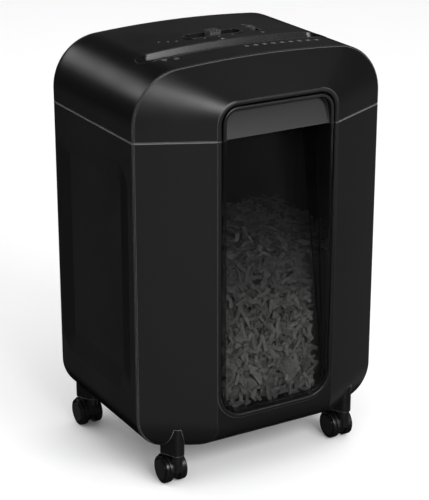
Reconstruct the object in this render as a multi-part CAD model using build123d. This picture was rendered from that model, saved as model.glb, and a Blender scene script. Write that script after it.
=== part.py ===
"""Lift-off-head paper shredder on four twin-wheel casters.

Frame: millimetres, +Z up, the front faces -Y, +X is to the right of someone facing the rear.
Origin: centre of the footprint, on the floor.
"""
from build123d import *
from math import acos, cos, pi, radians, sin, sqrt, tan
import os

# ---------------------------------------------------------------- driving dimensions
HALF_WIDTH = 159.5       # half the width of the body
FRONT_Y = -128.0         # front of the window frame's beads
REAR_Y = 128.0           # rear wall
GROOVE_Y = -87.0         # plane of the groove between the front panels and the shells behind them
BASE_Z = 48.0            # underside of the bin
SEAM_Z = 414.0           # where the head rests on the bin
TOP_Z = 493.0            # crown of the head, along the middle
CROWN_R = 1320.0         # the crown falls away gently towards both shoulders
SHOULDER_R = 60.0        # shoulders of the head
HEEL_R = 40.0            # lower long edges of the bin
REAR_R = 26.0            # edges round the rear face
WALL = 2.5               # moulded wall
SEAM_GAP = 0.4           # clear height between head and bin shells
RUNNING = 0.05           # radial clearance of a shaft in its hole

NOSE_Y = FRONT_Y + 1.0   # flat front face that the beads stand on
NOSE_HALF = 77.5         # half width of the flat front face
NOSE_LOW = BASE_Z
NOSE_HIGH = 456.0
NOSE_SHOULDER_R = 24.0
NOSE_HEEL_R = 34.0
TOE_R = 28.0             # rounding under the front face

# Window frame: outer bead, groove, inner bead, measured as half widths; low and high edges follow.
BEAD_OUT = 77.5
BEAD_OUT_IN = 73.0
BEAD_IN = 71.0
BEAD_IN_IN = 66.5
FRAME_LOW = 81.5         # lowest edge of the outer bead
FRAME_HIGH = 456.0       # highest edge of the outer bead
FRAME_LOW_R = 34.0
FRAME_HIGH_R = 25.0
BEAD_DEPTH = 3.5
BEAD_ROUND = 1.3

# Inside the frame the flange and the window fan out from one line at the bottom of the frame.
FAN_Y = -123.0
FAN_Z = 93.0
FLANGE_SLOPE = 0.0825    # mm back per mm up
WINDOW_SLOPE = 0.18
WINDOW_T = 2.5
CHEEK_IN = 69.0          # inner face of the walls beside the window
CHEEK_OUT = 71.5

# Paper throat and cutters.
SLOT_Y = -28.6           # centre plane of the paper slot
SLOT_HALF = 115.0        # half the paper width, 230 in all
THROAT_GAP = 8.0
THROAT_LOW = 448.0
RIM_W = 32.0
RIM_PROUD = 0.3          # height of the slot's rim above the crown
SHAFT_Z = 428.0
SHAFT_GAP = 28.0         # between the cutter shafts' centres
DISC_R = 16.0
CORE_R = 11.2
DISC_T = 3.6
DISC_PITCH = 8.2
DISC_COUNT = 28
JOURNAL_R = 6.0
PLATE_X = 118.0          # inner faces of the cutter block's end plates
PLATE_T = 3.0

# Gears: sync pair on the left end, reduction on the right end.
PRESSURE = radians(25)
BACKLASH = 0.30
SYNC_MODULE, SYNC_TEETH = 2.0, 14
SLOW_MODULE, DRIVE_TEETH, SMALL_TEETH = 1.25, 34, 12
FAST_MODULE, LARGE_TEETH, PINION_TEETH = 1.0, 40, 12
IDLER_LIFT = 31.0        # degrees above level, seen from the rear shaft
MOTOR_Z = 446.0
MOTOR_R = 27.0
MOTOR_LEN = 95.0

# Controls on the crown.
CONTROL_Y = 17.5
CONTROL_LEN, CONTROL_W = 75.0, 21.0
CONTROL_DEPTH = 6.0
LOCK_X, LOCK_Y = 56.5, 22.0
LOCK_LEN, LOCK_W = 30.0, 9.0
LOCK_DEPTH = 2.5

# Casters.
WHEEL_R = 16.5
WHEEL_W = 9.0
WHEEL_IN = 4.6           # inner face of a wheel, from the caster's middle
TRAIL = 16.0
STEM_R = 4.0
BOSS_LOW = 40.0
BOSS_HIGH = 74.0
CASTERS = {"front_left": (-115.0, -100.0), "front_right": (115.0, -100.0),
           "rear_left": (-132.0, 84.0), "rear_right": (132.0, 84.0)}

AXLE_R = 2.0
DRUM_R = 13.5            # drum between the wheels
HOOD_HALF = 9.0          # half width of the hoods over the wheels
NECK_Z = 33.0            # where the stem's spigot begins
SPIGOT_R = 2.6
STEM_IN = 24.0           # stem inside its boss

# Head tray, with a pocket for the fingers and a well that dips into the bin.
TRAY_LOW, TRAY_TOP = 414.5, 417.5
POCKET_HALF, POCKET_FRONT, POCKET_Y, POCKET_Z = 73.5, -111.0, -66.5, 444.0
WELL_X, WELL_Y0, WELL_Y1, WELL_LOW = 151.0, -62.0, 14.0, 400.0
SCREW_R, SCREW_LEN = 2.0, 14.0
COVER_SCREWS = [(x, y) for x in (-130.0, 130.0) for y in (-74.0, 100.0)]

# Throat details.
RIM_LEN = 2 * SLOT_HALF + 14
THROAT_KNEE = 466.0
FLAG_Y, FLAG_Z, FLAG_PIN_R = -12.0, 470.0, 1.5
LOCK_TRAVEL = 12.0

# Drive details: axial places of the gears, their pins and the motor's shaft.
BUSH_R = 8.0
TIE_R = 3.0
TIE_RODS = [(-54.0, 455.0), (-14.0, 456.0), (-54.0, 410.0), (3.0, 410.0)]
COMB_Z = 424.0
FAST_X0, FAST_X1 = 122.5, 129.5
SLOW_X0, SLOW_X1 = 130.3, 140.0
GEARBOX_X = 143.5
IDLER_PIN_R = 3.0
ROTOR_R = 2.5

# Small items.
INTERLOCK_X, INTERLOCK_Y = 150.0, 70.0
POST_TOP = SEAM_Z + 7.0
RIM_DEPTH = 16.0
PLUNGER_R = 3.0
PLUNGER_TOP = 437.5
OVER_TRAVEL = 4.0        # the plunger can rise this much above its place on the post
BOARD_X0, BOARD_X1, BOARD_Y0, BOARD_Y1, BOARD_Z = -112.0, -28.0, 28.0, 92.0, 432.0
GLAND_X, GLAND_Z = -100.0, 436.0
VENTS, VENT_PITCH = 10, 9.0
HEAP_Z, HEAP_HALF, HEAP_CRUST = 255.0, 66.0, 4.0

BIG = 600.0              # larger than the object, for cutting blocks
FLAT = 1e6               # crown radius of an outline whose top is straight

FRONT_SHAFT_Y = SLOT_Y - SHAFT_GAP / 2
REAR_SHAFT_Y = SLOT_Y + SHAFT_GAP / 2
SLOW_CENTRES = SLOW_MODULE * (DRIVE_TEETH + SMALL_TEETH) / 2
FAST_CENTRES = FAST_MODULE * (LARGE_TEETH + PINION_TEETH) / 2
IDLER_Y = REAR_SHAFT_Y + SLOW_CENTRES * cos(radians(IDLER_LIFT))
IDLER_Z = SHAFT_Z + SLOW_CENTRES * sin(radians(IDLER_LIFT))
MOTOR_Y = IDLER_Y + sqrt(FAST_CENTRES ** 2 - (MOTOR_Z - IDLER_Z) ** 2)


# ---------------------------------------------------------------- helpers
def save(node, solid):
    """Write one node's STEP file."""
    export_step(solid, f"parts/{node}.step")


def block(x0, x1, y0, y1, z0, z1):
    """Box between two corners."""
    return Pos((x0 + x1) / 2, (y0 + y1) / 2, (z0 + z1) / 2) * Box(x1 - x0, y1 - y0, z1 - z0)


def rod(x0, x1, y, z, radius):
    """Round bar along X."""
    return Pos((x0 + x1) / 2, y, z) * Rot(0, 90, 0) * Cylinder(radius, x1 - x0)


def post(x, y, z0, z1, radius):
    """Round bar along Z."""
    return Pos(x, y, (z0 + z1) / 2) * Cylinder(radius, z1 - z0)


def across(points, x0, x1):
    """Polygon of (y, z) points, extruded along X."""
    face = make_face(Polyline(*points, close=True))
    return extrude(Plane(origin=(x0, 0, 0), x_dir=(0, 1, 0), z_dir=(1, 0, 0)) * face, x1 - x0)


def crown_height(x, high=TOP_Z, crown=CROWN_R):
    """Height of an arched top at x."""
    return high - crown + sqrt(crown ** 2 - x ** 2)


def outline(y, half, low, high, r_low, r_high, crown=FLAT):
    """Upright outline with two corner radii and an arched top, lying across the object at depth y."""
    arc = sin(pi / 4)
    r, s = r_low, r_high
    corner_x = half - s
    corner_z = high - crown + sqrt((crown - s) ** 2 - corner_x ** 2) if crown < FLAT else high - s
    lean = acos(corner_x / (crown - s)) if crown < FLAT else pi / 2
    join_x, join_z = corner_x + s * cos(lean), corner_z + s * sin(lean)
    half_wire = [
        Line((0, low), (half - r, low)),
        ThreePointArc((half - r, low), (half - r + r * arc, low + r - r * arc), (half, low + r)),
        Line((half, low + r), (half, corner_z)),
        ThreePointArc((half, corner_z), (corner_x + s * cos(lean / 2), corner_z + s * sin(lean / 2)),
                      (join_x, join_z)),
    ]
    if crown < FLAT:
        half_wire.append(ThreePointArc((join_x, join_z), (join_x / 2, crown_height(join_x / 2, high, crown)),
                                       (0, high)))
    else:
        half_wire.append(Line((join_x, join_z), (0, high)))
    edges = half_wire + [edge.mirror(Plane.YZ) for edge in half_wire]
    face = make_face(Wire(edges))
    return Plane(origin=(0, y, 0), x_dir=(1, 0, 0), z_dir=(0, -1, 0)) * face


def bar(y0, y1, half, low, high, r_low, r_high, crown=FLAT):
    """The same outline as a bar from y0 back to y1."""
    return extrude(outline(y1, half, low, high, r_low, r_high, crown), y1 - y0)


def rear_volume(inset, groove=0.0):
    """Everything behind the groove, inset from the outer surface; groove rounds its front edge."""
    solid = bar(GROOVE_Y, REAR_Y - inset, HALF_WIDTH - inset, BASE_Z + inset, TOP_Z - inset,
                HEEL_R - inset, SHOULDER_R - inset, CROWN_R - inset)
    solid = fillet(solid.faces().sort_by(Axis.Y)[-1].edges(), REAR_R - inset)
    if groove:
        solid = chamfer(solid.faces().sort_by(Axis.Y)[0].edges(), groove)
    return solid


def nose_volume(inset, groove=0.0):
    """Everything in front of the groove: wings, sloping top and rounded toe."""
    back = outline(GROOVE_Y, HALF_WIDTH - inset, BASE_Z + inset, TOP_Z - inset,
                   HEEL_R - inset, SHOULDER_R - inset, CROWN_R - inset)
    front = outline(NOSE_Y + inset, NOSE_HALF, NOSE_LOW + inset, NOSE_HIGH - inset,
                    NOSE_HEEL_R - inset, NOSE_SHOULDER_R - inset)
    solid = loft([back, front], ruled=True)
    toe = block(-BIG, BIG, NOSE_Y - 1, NOSE_Y + TOE_R, BASE_Z - 1, BASE_Z + TOE_R)
    solid -= toe - rod(-BIG, BIG, NOSE_Y + TOE_R, BASE_Z + TOE_R, TOE_R - inset)
    if groove:
        outer = bar(GROOVE_Y - groove, GROOVE_Y, HALF_WIDTH + 1, BASE_Z - 1, TOP_Z + 1, HEEL_R, SHOULDER_R)
        rebate = 2 * groove
        kept = bar(GROOVE_Y - groove, GROOVE_Y, HALF_WIDTH - rebate, BASE_Z + rebate, TOP_Z - rebate,
                   HEEL_R - rebate, SHOULDER_R - rebate, CROWN_R - rebate)
        solid -= outer - kept
    return solid


def frame_bar(inset, y0, y1):
    """Bar inside the window frame; inset counts from the frame's outermost edge."""
    return bar(y0, y1, BEAD_OUT - inset, FRAME_LOW + inset, FRAME_HIGH - inset,
               FRAME_LOW_R - inset, FRAME_HIGH_R - inset)


def bead(half_out, half_in):
    """One raised, rounded bead of the window frame, all the way round."""
    ring = (frame_bar(BEAD_OUT - half_out, FRONT_Y, FRONT_Y + BEAD_DEPTH)
            - frame_bar(BEAD_OUT - half_in, FRONT_Y - 1, FRONT_Y + BEAD_DEPTH + 1))
    return fillet(ring.faces().sort_by(Axis.Y)[0].edges(), BEAD_ROUND)


def above(z):
    """Everything above a level."""
    return block(-BIG, BIG, -BIG, BIG, z, z + BIG)


def below(z):
    """Everything below a level."""
    return block(-BIG, BIG, -BIG, BIG, z - BIG, z)


def behind(slope):
    """Space behind a plane that leans back from the frame's lower edge."""
    top = FAN_Z + BIG
    low = FAN_Z - BIG
    points = [(FAN_Y + slope * (low - FAN_Z), low), (FAN_Y + slope * (top - FAN_Z), top),
              (BIG, top), (BIG, low)]
    return across(points, -BIG, BIG)


def stadium(x, y, length, width, z0, z1, turn=0):
    """Upright bar with a slot-shaped section, its length along X before the turn."""
    face = Pos(x, y, z0) * Rot(0, 0, turn) * SlotOverall(length, width)
    return extrude(face, z1 - z0)


# ---------------------------------------------------------------- gears
def gear(teeth, module, y, z, x0, x1, phase, bore):
    """Involute spur gear about X. A tooth is centred at phase, in radians from +Y towards +Z."""
    pitch = module * teeth / 2
    base = pitch * cos(PRESSURE)
    tip = pitch + 0.95 * module
    root = pitch - 1.2 * module
    start = max(base, root)
    half = pi / (2 * teeth) - BACKLASH / (4 * pitch)
    steps = 4
    flank = []
    for i in range(steps + 1):
        radius = start + (tip - start) * i / steps
        roll = acos(base / radius)
        flank.append((radius, half + tan(PRESSURE) - PRESSURE - (tan(roll) - roll)))
    if root < base:
        flank.insert(0, (root, flank[0][1]))
    points = []
    for tooth in range(teeth):
        middle = phase + 2 * pi * tooth / teeth
        sides = [(r, middle - a) for r, a in flank] + [(r, middle + a) for r, a in reversed(flank)]
        points += [(y + r * cos(a), z + r * sin(a)) for r, a in sides]
    return across(points, x0, x1) - rod(x0 - 1, x1 + 1, y, z, bore)


# ---------------------------------------------------------------- bin shells
def caster_boss(x, y):
    """Moulded socket that a caster's stem plugs into: round at the stem, wider behind it."""
    spread, back = 11.0, 13.0
    plan = make_hull(Circle(8.0).edges()
                     + (Pos(spread, back) * Circle(4.0)).edges()
                     + (Pos(-spread, back) * Circle(4.0)).edges())
    left = extrude(Pos(-abs(x), y, BOSS_LOW) * plan, BOSS_HIGH - BOSS_LOW)
    return left if x < 0 else mirror(left, Plane.YZ)


def side_dish(side, shift):
    """Shallow dish pressed into one side of the bin, with wide sloping borders."""
    depth, border = 4.5, 26.0
    y0, y1, z0, z1, corner = -74.0, 104.0, 110.0, 386.0, 30.0
    rise = border / depth
    faces = []
    for step in (-1.0, depth):
        grow = -step * rise
        x = side * (HALF_WIDTH - step - shift)
        plane = Plane(origin=(x, (y0 + y1) / 2, (z0 + z1) / 2), x_dir=(0, 1, 0), z_dir=(1, 0, 0))
        faces.append(plane * RectangleRounded(y1 - y0 + 2 * grow, z1 - z0 + 2 * grow, corner + grow))
    return loft(faces, ruled=True)


os.makedirs("parts", exist_ok=True)

HALF_GAP = SEAM_GAP / 2
LOCK_Z = crown_height(LOCK_X)
rear_outer = rear_volume(0, groove=1.0)
rear_inner = rear_volume(WALL)
nose_outer = nose_volume(0, groove=1.0)
nose_inner = nose_volume(WALL)

# A shallow line all round the seam, so that the two shells meet in a shadow gap.
LINE_DEPTH = 1.0
LINE_HIGH = 1.6
seam_line = block(-BIG, BIG, -BIG, BIG, SEAM_Z - LINE_HIGH / 2, SEAM_Z + LINE_HIGH / 2)
seam_line -= rear_volume(LINE_DEPTH) + nose_volume(LINE_DEPTH)
lower_half = below(SEAM_Z - HALF_GAP)
upper_half = above(SEAM_Z + HALF_GAP)
bosses = [caster_boss(x, y) for x, y in CASTERS.values()]
frame_hole = frame_bar(BEAD_OUT - BEAD_OUT_IN, FRONT_Y - 5, GROOVE_Y)
outer_bead = bead(BEAD_OUT, BEAD_OUT_IN)
inner_bead = bead(BEAD_IN, BEAD_IN_IN)


def make_bin_shell():
    """Sides, rear and bottom of the bin, dished on both sides."""
    solid = rear_outer & lower_half
    hollow = rear_inner & below(SEAM_Z)
    for side in (-1, 1):
        solid -= side_dish(side, 0)
        hollow -= side_dish(side, WALL)
    return solid - hollow - seam_line - bosses


def make_front_panel():
    """Swept wings of the bin with the opening for the window and its outer bead."""
    solid = (nose_outer - nose_inner) & lower_half
    solid = solid - frame_hole - seam_line
    solid += outer_bead & lower_half
    return solid - bosses


def window_y(z):
    """Depth of the window's front face at a height."""
    return FAN_Y + WINDOW_SLOPE * (z - FAN_Z)


def flange_y(z):
    """Depth of the flange's rear edge at a height."""
    return FAN_Y + FLANGE_SLOPE * (z - FAN_Z)


def make_window():
    """Flat smoked pane, leaning back from the frame's lower edge."""
    low, high, half = FAN_Z - 4.0, SEAM_Z - 2.0, CHEEK_IN - 0.1
    points = [(window_y(low), low), (window_y(high), high),
              (window_y(high) + WINDOW_T, high), (window_y(low) + WINDOW_T, low)]
    return across(points, -half, half)


def make_window_surround(window):
    """Inner bead, deep flange and side cheeks that hold the window."""
    solid = inner_bead
    tube = (frame_bar(BEAD_OUT - BEAD_IN, FRONT_Y + 2, GROOVE_Y + 27)
            - frame_bar(BEAD_OUT - BEAD_IN_IN, FRONT_Y, GROOVE_Y + 28))
    solid += tube - behind(FLANGE_SLOPE)
    collar_back = NOSE_Y + WALL + 2.0
    collar = (frame_bar(0.5, NOSE_Y + WALL, collar_back)
              - frame_bar(BEAD_OUT - BEAD_IN, FRONT_Y, GROOVE_Y))
    solid += collar
    top = SEAM_Z - HALF_GAP
    cheek = [(flange_y(FAN_Z) - 1, FAN_Z), (flange_y(top) - 6, top),
             (window_y(top) + WINDOW_T + 0.2, top), (window_y(FAN_Z) + WINDOW_T + 0.2, FAN_Z)]
    for side in (-1, 1):
        x0, x1 = sorted((side * CHEEK_IN, side * CHEEK_OUT))
        solid += across(cheek, x0, x1)
    return (solid & lower_half) - window


def make_bin_rim():
    """Stiffening ring inside the mouth of the bin."""
    ring = block(-BIG, BIG, GROOVE_Y + 1, BIG, SEAM_Z - RIM_DEPTH, SEAM_Z - HALF_GAP)
    return (rear_volume(WALL) - rear_volume(WALL + 3.0)) & ring


def make_interlock_post():
    """Bracket under the rim whose post pushes the head's plunger up."""
    solid = block(INTERLOCK_X - 5, HALF_WIDTH - WALL, INTERLOCK_Y - 6, INTERLOCK_Y + 6,
                  SEAM_Z - RIM_DEPTH - 8, SEAM_Z - RIM_DEPTH)
    return solid + post(INTERLOCK_X - 0.5, INTERLOCK_Y, SEAM_Z - RIM_DEPTH - 4, POST_TOP, 3.5)


def make_caster_bosses():
    """Four sockets, bored for the caster stems."""
    holes = Part()
    for x, y in CASTERS.values():
        holes += post(x, y, BOSS_LOW - 1, BOSS_LOW + STEM_IN + 1, STEM_R + RUNNING)
    return Compound([boss - holes for boss in bosses])


def heap(inset):
    """Space the loose shreds fill behind the window, inset all round."""
    gap = WALL + 5.0 + inset
    top = HEAP_Z - inset
    half = HEAP_HALF - inset
    solid = rear_volume(gap) & block(-BIG, BIG, GROOVE_Y + 1, BIG, 0, top)
    solid += nose_volume(gap) & block(-half, half, FRONT_Y, GROOVE_Y + 2, BASE_Z, top)
    solid &= Pos(0, WINDOW_T + 1.0 + inset, 0) * behind(WINDOW_SLOPE)
    for x, y in CASTERS.values():
        solid -= block(x - 17 - inset, x + 17 + inset, y - 11, y + 20 + inset, 0, BOSS_HIGH + 1 + inset)
    return solid


def make_shredded_paper():
    """Loose heap of shreds: a crust with an opening underneath, as light as loose paper."""
    return heap(0) - heap(HEAP_CRUST) - post(0, 20, BASE_Z, BASE_Z + 30, 25.0)


# ---------------------------------------------------------------- head shells
def cover_post(x, y):
    """Screw post under the crown, bored for a screw."""
    solid = post(x, y, TRAY_TOP, TOP_Z, 5.0) & rear_volume(WALL / 2)
    return solid - post(x, y, TRAY_TOP - 1, TRAY_TOP + SCREW_LEN, SCREW_R)


def make_head_cover():
    """Top, sides and rear of the head, with cut-outs for the throat and the controls."""
    solid = (rear_outer - rear_inner) & upper_half
    solid -= seam_line
    for x, y in COVER_SCREWS:
        solid += cover_post(x, y)
    solid += stadium(LOCK_X, LOCK_Y, LOCK_LEN + 5, LOCK_W + 5, LOCK_Z - WALL - 3, LOCK_Z - 1.5, 90)
    solid -= stadium(LOCK_X, LOCK_Y, LOCK_LEN, LOCK_W, LOCK_Z - LOCK_DEPTH, TOP_Z + 5, 90)
    solid -= stadium(LOCK_X, LOCK_Y, LOCK_TRAVEL + 4, 3.6, TOP_Z - 20, TOP_Z, 90)
    solid -= stadium(0, SLOT_Y, RIM_LEN, RIM_W, TOP_Z - 30, TOP_Z + 5)
    solid -= stadium(0, CONTROL_Y, CONTROL_LEN, CONTROL_W, TOP_Z - 10, TOP_Z + 5)
    for i in range(VENTS):
        x = (i - (VENTS - 1) / 2) * VENT_PITCH
        solid -= block(x - 1.5, x + 1.5, REAR_Y - 10, REAR_Y + 1, SEAM_Z + 16, SEAM_Z + 40)
    solid -= Pos(GLAND_X, REAR_Y, GLAND_Z) * Rot(90, 0, 0) * Cylinder(6.0, 30)
    return solid


def make_head_fascia():
    """Sloping front of the head, with the upper part of the outer bead."""
    solid = (nose_outer - nose_inner) & upper_half
    solid = solid - frame_hole - seam_line
    return solid + (outer_bead & upper_half)


def make_lift_lip():
    """Hollowed lip under the arch, by which the head is lifted, with the inner bead."""
    inside = frame_bar(BEAD_OUT - BEAD_IN, FRONT_Y, GROOVE_Y)
    tube = (frame_bar(BEAD_OUT - BEAD_IN, FRONT_Y + 2, FRONT_Y + 16)
            - frame_bar(BEAD_OUT - BEAD_IN_IN, FRONT_Y, FRONT_Y + 20))
    low, high, thick = SEAM_Z + HALF_GAP, FRAME_HIGH - 6, 3.0
    foot, head, hollow = FRONT_Y + 3.0, FRONT_Y + 10.0, FRONT_Y + 9.0
    middle = (low + high) / 2 + 4
    front = ThreePointArc((foot, low), (hollow - 1.2, middle), (head, high))
    back = ThreePointArc((head + thick, high), (hollow - 1.2 + thick, middle), (foot + thick, low))
    profile = make_face(Wire([front, Line((head, high), (head + thick, high)), back,
                              Line((foot + thick, low), (foot, low))]))
    plane = Plane(origin=(-BEAD_OUT, 0, 0), x_dir=(0, 1, 0), z_dir=(1, 0, 0))
    lip = extrude(plane * profile, 2 * BEAD_OUT) & inside
    return ((inner_bead + tube) & upper_half) + lip


def funnel(half, wide, narrow, top, low):
    """Throat volume: wide at the top, narrow and straight below."""
    knee = THROAT_KNEE
    upper = loft([Pos(0, SLOT_Y, top) * SlotOverall(2 * half, wide),
                  Pos(0, SLOT_Y, knee) * SlotOverall(2 * half, narrow)], ruled=True)
    return upper + stadium(0, SLOT_Y, 2 * half, narrow, low, knee)


def make_throat_guide():
    """Rim round the paper slot and the funnel that leads down to the cutters."""
    rim = stadium(0, SLOT_Y, RIM_LEN, RIM_W, TOP_Z - 14, TOP_Z + 5) & rear_volume(-RIM_PROUD)
    solid = rim + funnel(SLOT_HALF + 2.5, RIM_W - 3, THROAT_GAP + 4, TOP_Z - 13, THROAT_LOW)
    solid -= funnel(SLOT_HALF, RIM_W - 5, THROAT_GAP, TOP_Z + 2, THROAT_LOW - 1)
    solid -= block(-3, 3, SLOT_Y + 1, SLOT_Y + 16, THROAT_LOW + 4, THROAT_KNEE + 8)
    ear = block(3.6, 5.6, SLOT_Y + 7, FLAG_Y + 4, FLAG_Z - 4, FLAG_Z + 3)
    for side in (1, -1):
        ears = ear if side == 1 else mirror(ear, Plane.YZ)
        solid += ears
    return solid - rod(-8, 8, FLAG_Y, FLAG_Z, FLAG_PIN_R + RUNNING)


def make_paper_flag():
    """Small lever that the paper's edge pushes down to start the motor."""
    arm = [(FLAG_Y - 2, FLAG_Z + 2), (FLAG_Y + 2, FLAG_Z + 2), (FLAG_Y + 2, FLAG_Z - 2),
           (SLOT_Y - 1, FLAG_Z - 8), (SLOT_Y - 1, FLAG_Z - 5)]
    return across(arm, -1.5, 1.5) + rod(-6, 6, FLAG_Y, FLAG_Z, FLAG_PIN_R)


def make_control_bezel():
    """Dished liner of the control recess."""
    solid = stadium(0, CONTROL_Y, CONTROL_LEN, CONTROL_W, TOP_Z - CONTROL_DEPTH - 1.5, TOP_Z + 0.4)
    solid -= stadium(0, CONTROL_Y, CONTROL_LEN - 4, CONTROL_W - 4, TOP_Z - CONTROL_DEPTH, TOP_Z + 2)
    return solid - stadium(0, CONTROL_Y, 31.0, 5.0, TOP_Z - 20, TOP_Z)


def make_control_slider():
    """Shuttle with a ribbed thumb pad."""
    floor = TOP_Z - CONTROL_DEPTH + 0.3
    solid = stadium(0, CONTROL_Y, 44.0, 13.0, floor, floor + 2.0)
    half_x, half_y, high = 7.0, 6.5, 10.5
    solid += block(-half_x, half_x, CONTROL_Y - half_y, CONTROL_Y + half_y, floor + 1, floor + high)
    for x in (-3.5, 0, 3.5):
        solid -= block(x - 0.8, x + 0.8, CONTROL_Y - 7, CONTROL_Y + 7, floor + high - 2, floor + high + 1)
    return solid + block(-4, 4, CONTROL_Y - 2, CONTROL_Y + 2, floor - 8, floor + 1)


def make_safety_lock():
    """Ribbed slider in its shallow track, with a peg through the crown."""
    y = LOCK_Y + LOCK_TRAVEL / 2
    low = LOCK_Z - LOCK_DEPTH + 0.3
    solid = stadium(LOCK_X, y, LOCK_LEN - LOCK_TRAVEL - 1, LOCK_W - 1, low, low + 3.4, 90)
    for step in (-2.5, 0, 2.5):
        solid -= block(LOCK_X - 5, LOCK_X + 5, y + step - 0.5, y + step + 0.5, low + 2.4, low + 4)
    return solid + post(LOCK_X, y, low - 8, low + 1, 1.5)


def make_selector_switch():
    """Slide switch under the control recess, with three terminals."""
    top = TOP_Z - CONTROL_DEPTH - 8.0
    solid = block(-18, 18, CONTROL_Y - 7, CONTROL_Y + 7, top - 14, top)
    for x in (-8, 0, 8):
        solid += block(x - 1, x + 1, CONTROL_Y - 1, CONTROL_Y + 1, top - 19, top - 13)
    return solid


def make_head_tray():
    """Floor of the head: finger pocket, well for the cutter block and the gears."""
    gap = 0.2
    solid = rear_volume(WALL + gap) & block(-BIG, BIG, GROOVE_Y, BIG, TRAY_LOW, TRAY_TOP)
    solid += nose_volume(WALL + gap) & block(-BIG, BIG, -BIG, GROOVE_Y, TRAY_LOW, TRAY_TOP)
    mouth = block(-BEAD_OUT_IN, BEAD_OUT_IN, FRONT_Y, POCKET_Y, TRAY_LOW - 1, TRAY_TOP + 1)
    solid -= mouth
    pocket_out = POCKET_HALF + WALL
    solid += block(-pocket_out, pocket_out, POCKET_FRONT, POCKET_Y + WALL, TRAY_LOW, POCKET_Z + WALL)
    solid -= block(-POCKET_HALF, POCKET_HALF, FRONT_Y, POCKET_Y, TRAY_LOW - 1, POCKET_Z)
    solid += block(-WELL_X, WELL_X, WELL_Y0, WELL_Y1, WELL_LOW, TRAY_TOP)
    solid -= block(-WELL_X + WALL, WELL_X - WALL, WELL_Y0 + WALL, WELL_Y1 - WALL,
                   WELL_LOW + WALL, TRAY_TOP + 1)
    # The shreds fall through an opening under the cutters.
    solid -= block(-PLATE_X + 4, PLATE_X - 4, WELL_Y0 + 6, WELL_Y1 - 10, WELL_LOW - 1, TRAY_TOP)
    for x, y in COVER_SCREWS:
        solid -= post(x, y, TRAY_LOW - 1, TRAY_TOP + 1, SCREW_R + 0.3)
    solid -= post(INTERLOCK_X, INTERLOCK_Y, TRAY_LOW - 1, TRAY_TOP + 1, 5.0)
    for x in (BOARD_X0 + 5, BOARD_X1 - 5):
        for y in (BOARD_Y0 + 5, BOARD_Y1 - 5):
            solid += post(x, y, TRAY_TOP - 1, BOARD_Z, 3.0)
    return solid


# ---------------------------------------------------------------- cutter block and drive
def plate(points, x0, x1):
    """End plate with bush holes for both cutter shafts and holes for the tie rods."""
    solid = across(points, x0, x1)
    for y in (FRONT_SHAFT_Y, REAR_SHAFT_Y):
        solid -= rod(x0 - 1, x1 + 1, y, SHAFT_Z, BUSH_R)
    for y, z in TIE_RODS:
        solid -= rod(x0 - 1, x1 + 1, y, z, TIE_R)
    return solid


def make_left_plate():
    """Left end plate, stepped in at the front foot to stand in the well: (y, z) corners."""
    points = [(-59, 404), (11, 404), (11, 462), (-63.5, 462), (-63.5, 419), (-59, 419)]
    return plate(points, -PLATE_X - PLATE_T, -PLATE_X)


def make_right_plate():
    """Right end plate, carried back to hold the motor as well: (y, z) corners."""
    points = [(-59, 404), (11, 404), (11, 419), (66, 419), (66, 474), (8, 474), (8, 462),
              (-63.5, 462), (-63.5, 419), (-59, 419)]
    solid = plate(points, PLATE_X, PLATE_X + PLATE_T)
    solid -= rod(PLATE_X - 1, PLATE_X + 5, IDLER_Y, IDLER_Z, IDLER_PIN_R)
    return solid - rod(PLATE_X - 1, PLATE_X + 5, MOTOR_Y, MOTOR_Z, 8.0)


def make_tie_rods():
    rods = []
    for y, z in TIE_RODS:
        solid = rod(-PLATE_X - PLATE_T, PLATE_X + PLATE_T, y, z, TIE_R)
        for side in (-1, 1):
            x0, x1 = sorted((side * (PLATE_X + PLATE_T), side * (PLATE_X + PLATE_T + 3)))
            plane = Plane(origin=(x0, 0, 0), x_dir=(0, 1, 0), z_dir=(1, 0, 0))
            solid += extrude(plane * Pos(y, z) * RegularPolygon(4.6, 6), x1 - x0)
        rods.append(solid)
    return Compound(rods)


def make_bushes():
    """Four flanged sleeves that carry the cutter shafts in the end plates."""
    bushes = []
    for side in (-1, 1):
        for y in (FRONT_SHAFT_Y, REAR_SHAFT_Y):
            x0, x1 = sorted((side * PLATE_X, side * (PLATE_X + PLATE_T + 0.5)))
            f0, f1 = sorted((side * (PLATE_X - 1.5), side * PLATE_X))
            solid = rod(x0, x1, y, SHAFT_Z, BUSH_R) + rod(f0, f1, y, SHAFT_Z, BUSH_R + 2)
            bushes.append(solid - rod(x0 - 9, x1 + 9, y, SHAFT_Z, JOURNAL_R + RUNNING))
    return Compound(bushes)


def cutter_disc(x, y, phase):
    """Cutting disc with hooked teeth round its edge."""
    teeth = 6
    hook = ((0.0, DISC_R), (0.28, DISC_R), (0.55, DISC_R), (0.78, DISC_R), (0.80, DISC_R - 2.2))
    points = []
    for i in range(teeth):
        start = phase + 2 * pi * i / teeth
        for turn, radius in hook:
            angle = start + turn * 2 * pi / teeth
            points.append((y + radius * cos(angle), SHAFT_Z + radius * sin(angle)))
    return across(points, x - DISC_T / 2, x + DISC_T / 2)


def make_cutter_shaft(y, first_x, count, left, right):
    """One-piece cutter shaft: core, journals and discs in a slow helix."""
    core = PLATE_X - 2.0
    solid = rod(-core, core, y, SHAFT_Z, CORE_R) + rod(left, right, y, SHAFT_Z, JOURNAL_R)
    discs = [cutter_disc(first_x + i * DISC_PITCH, y, i * pi / 9) for i in range(count)]
    return solid + discs


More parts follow.
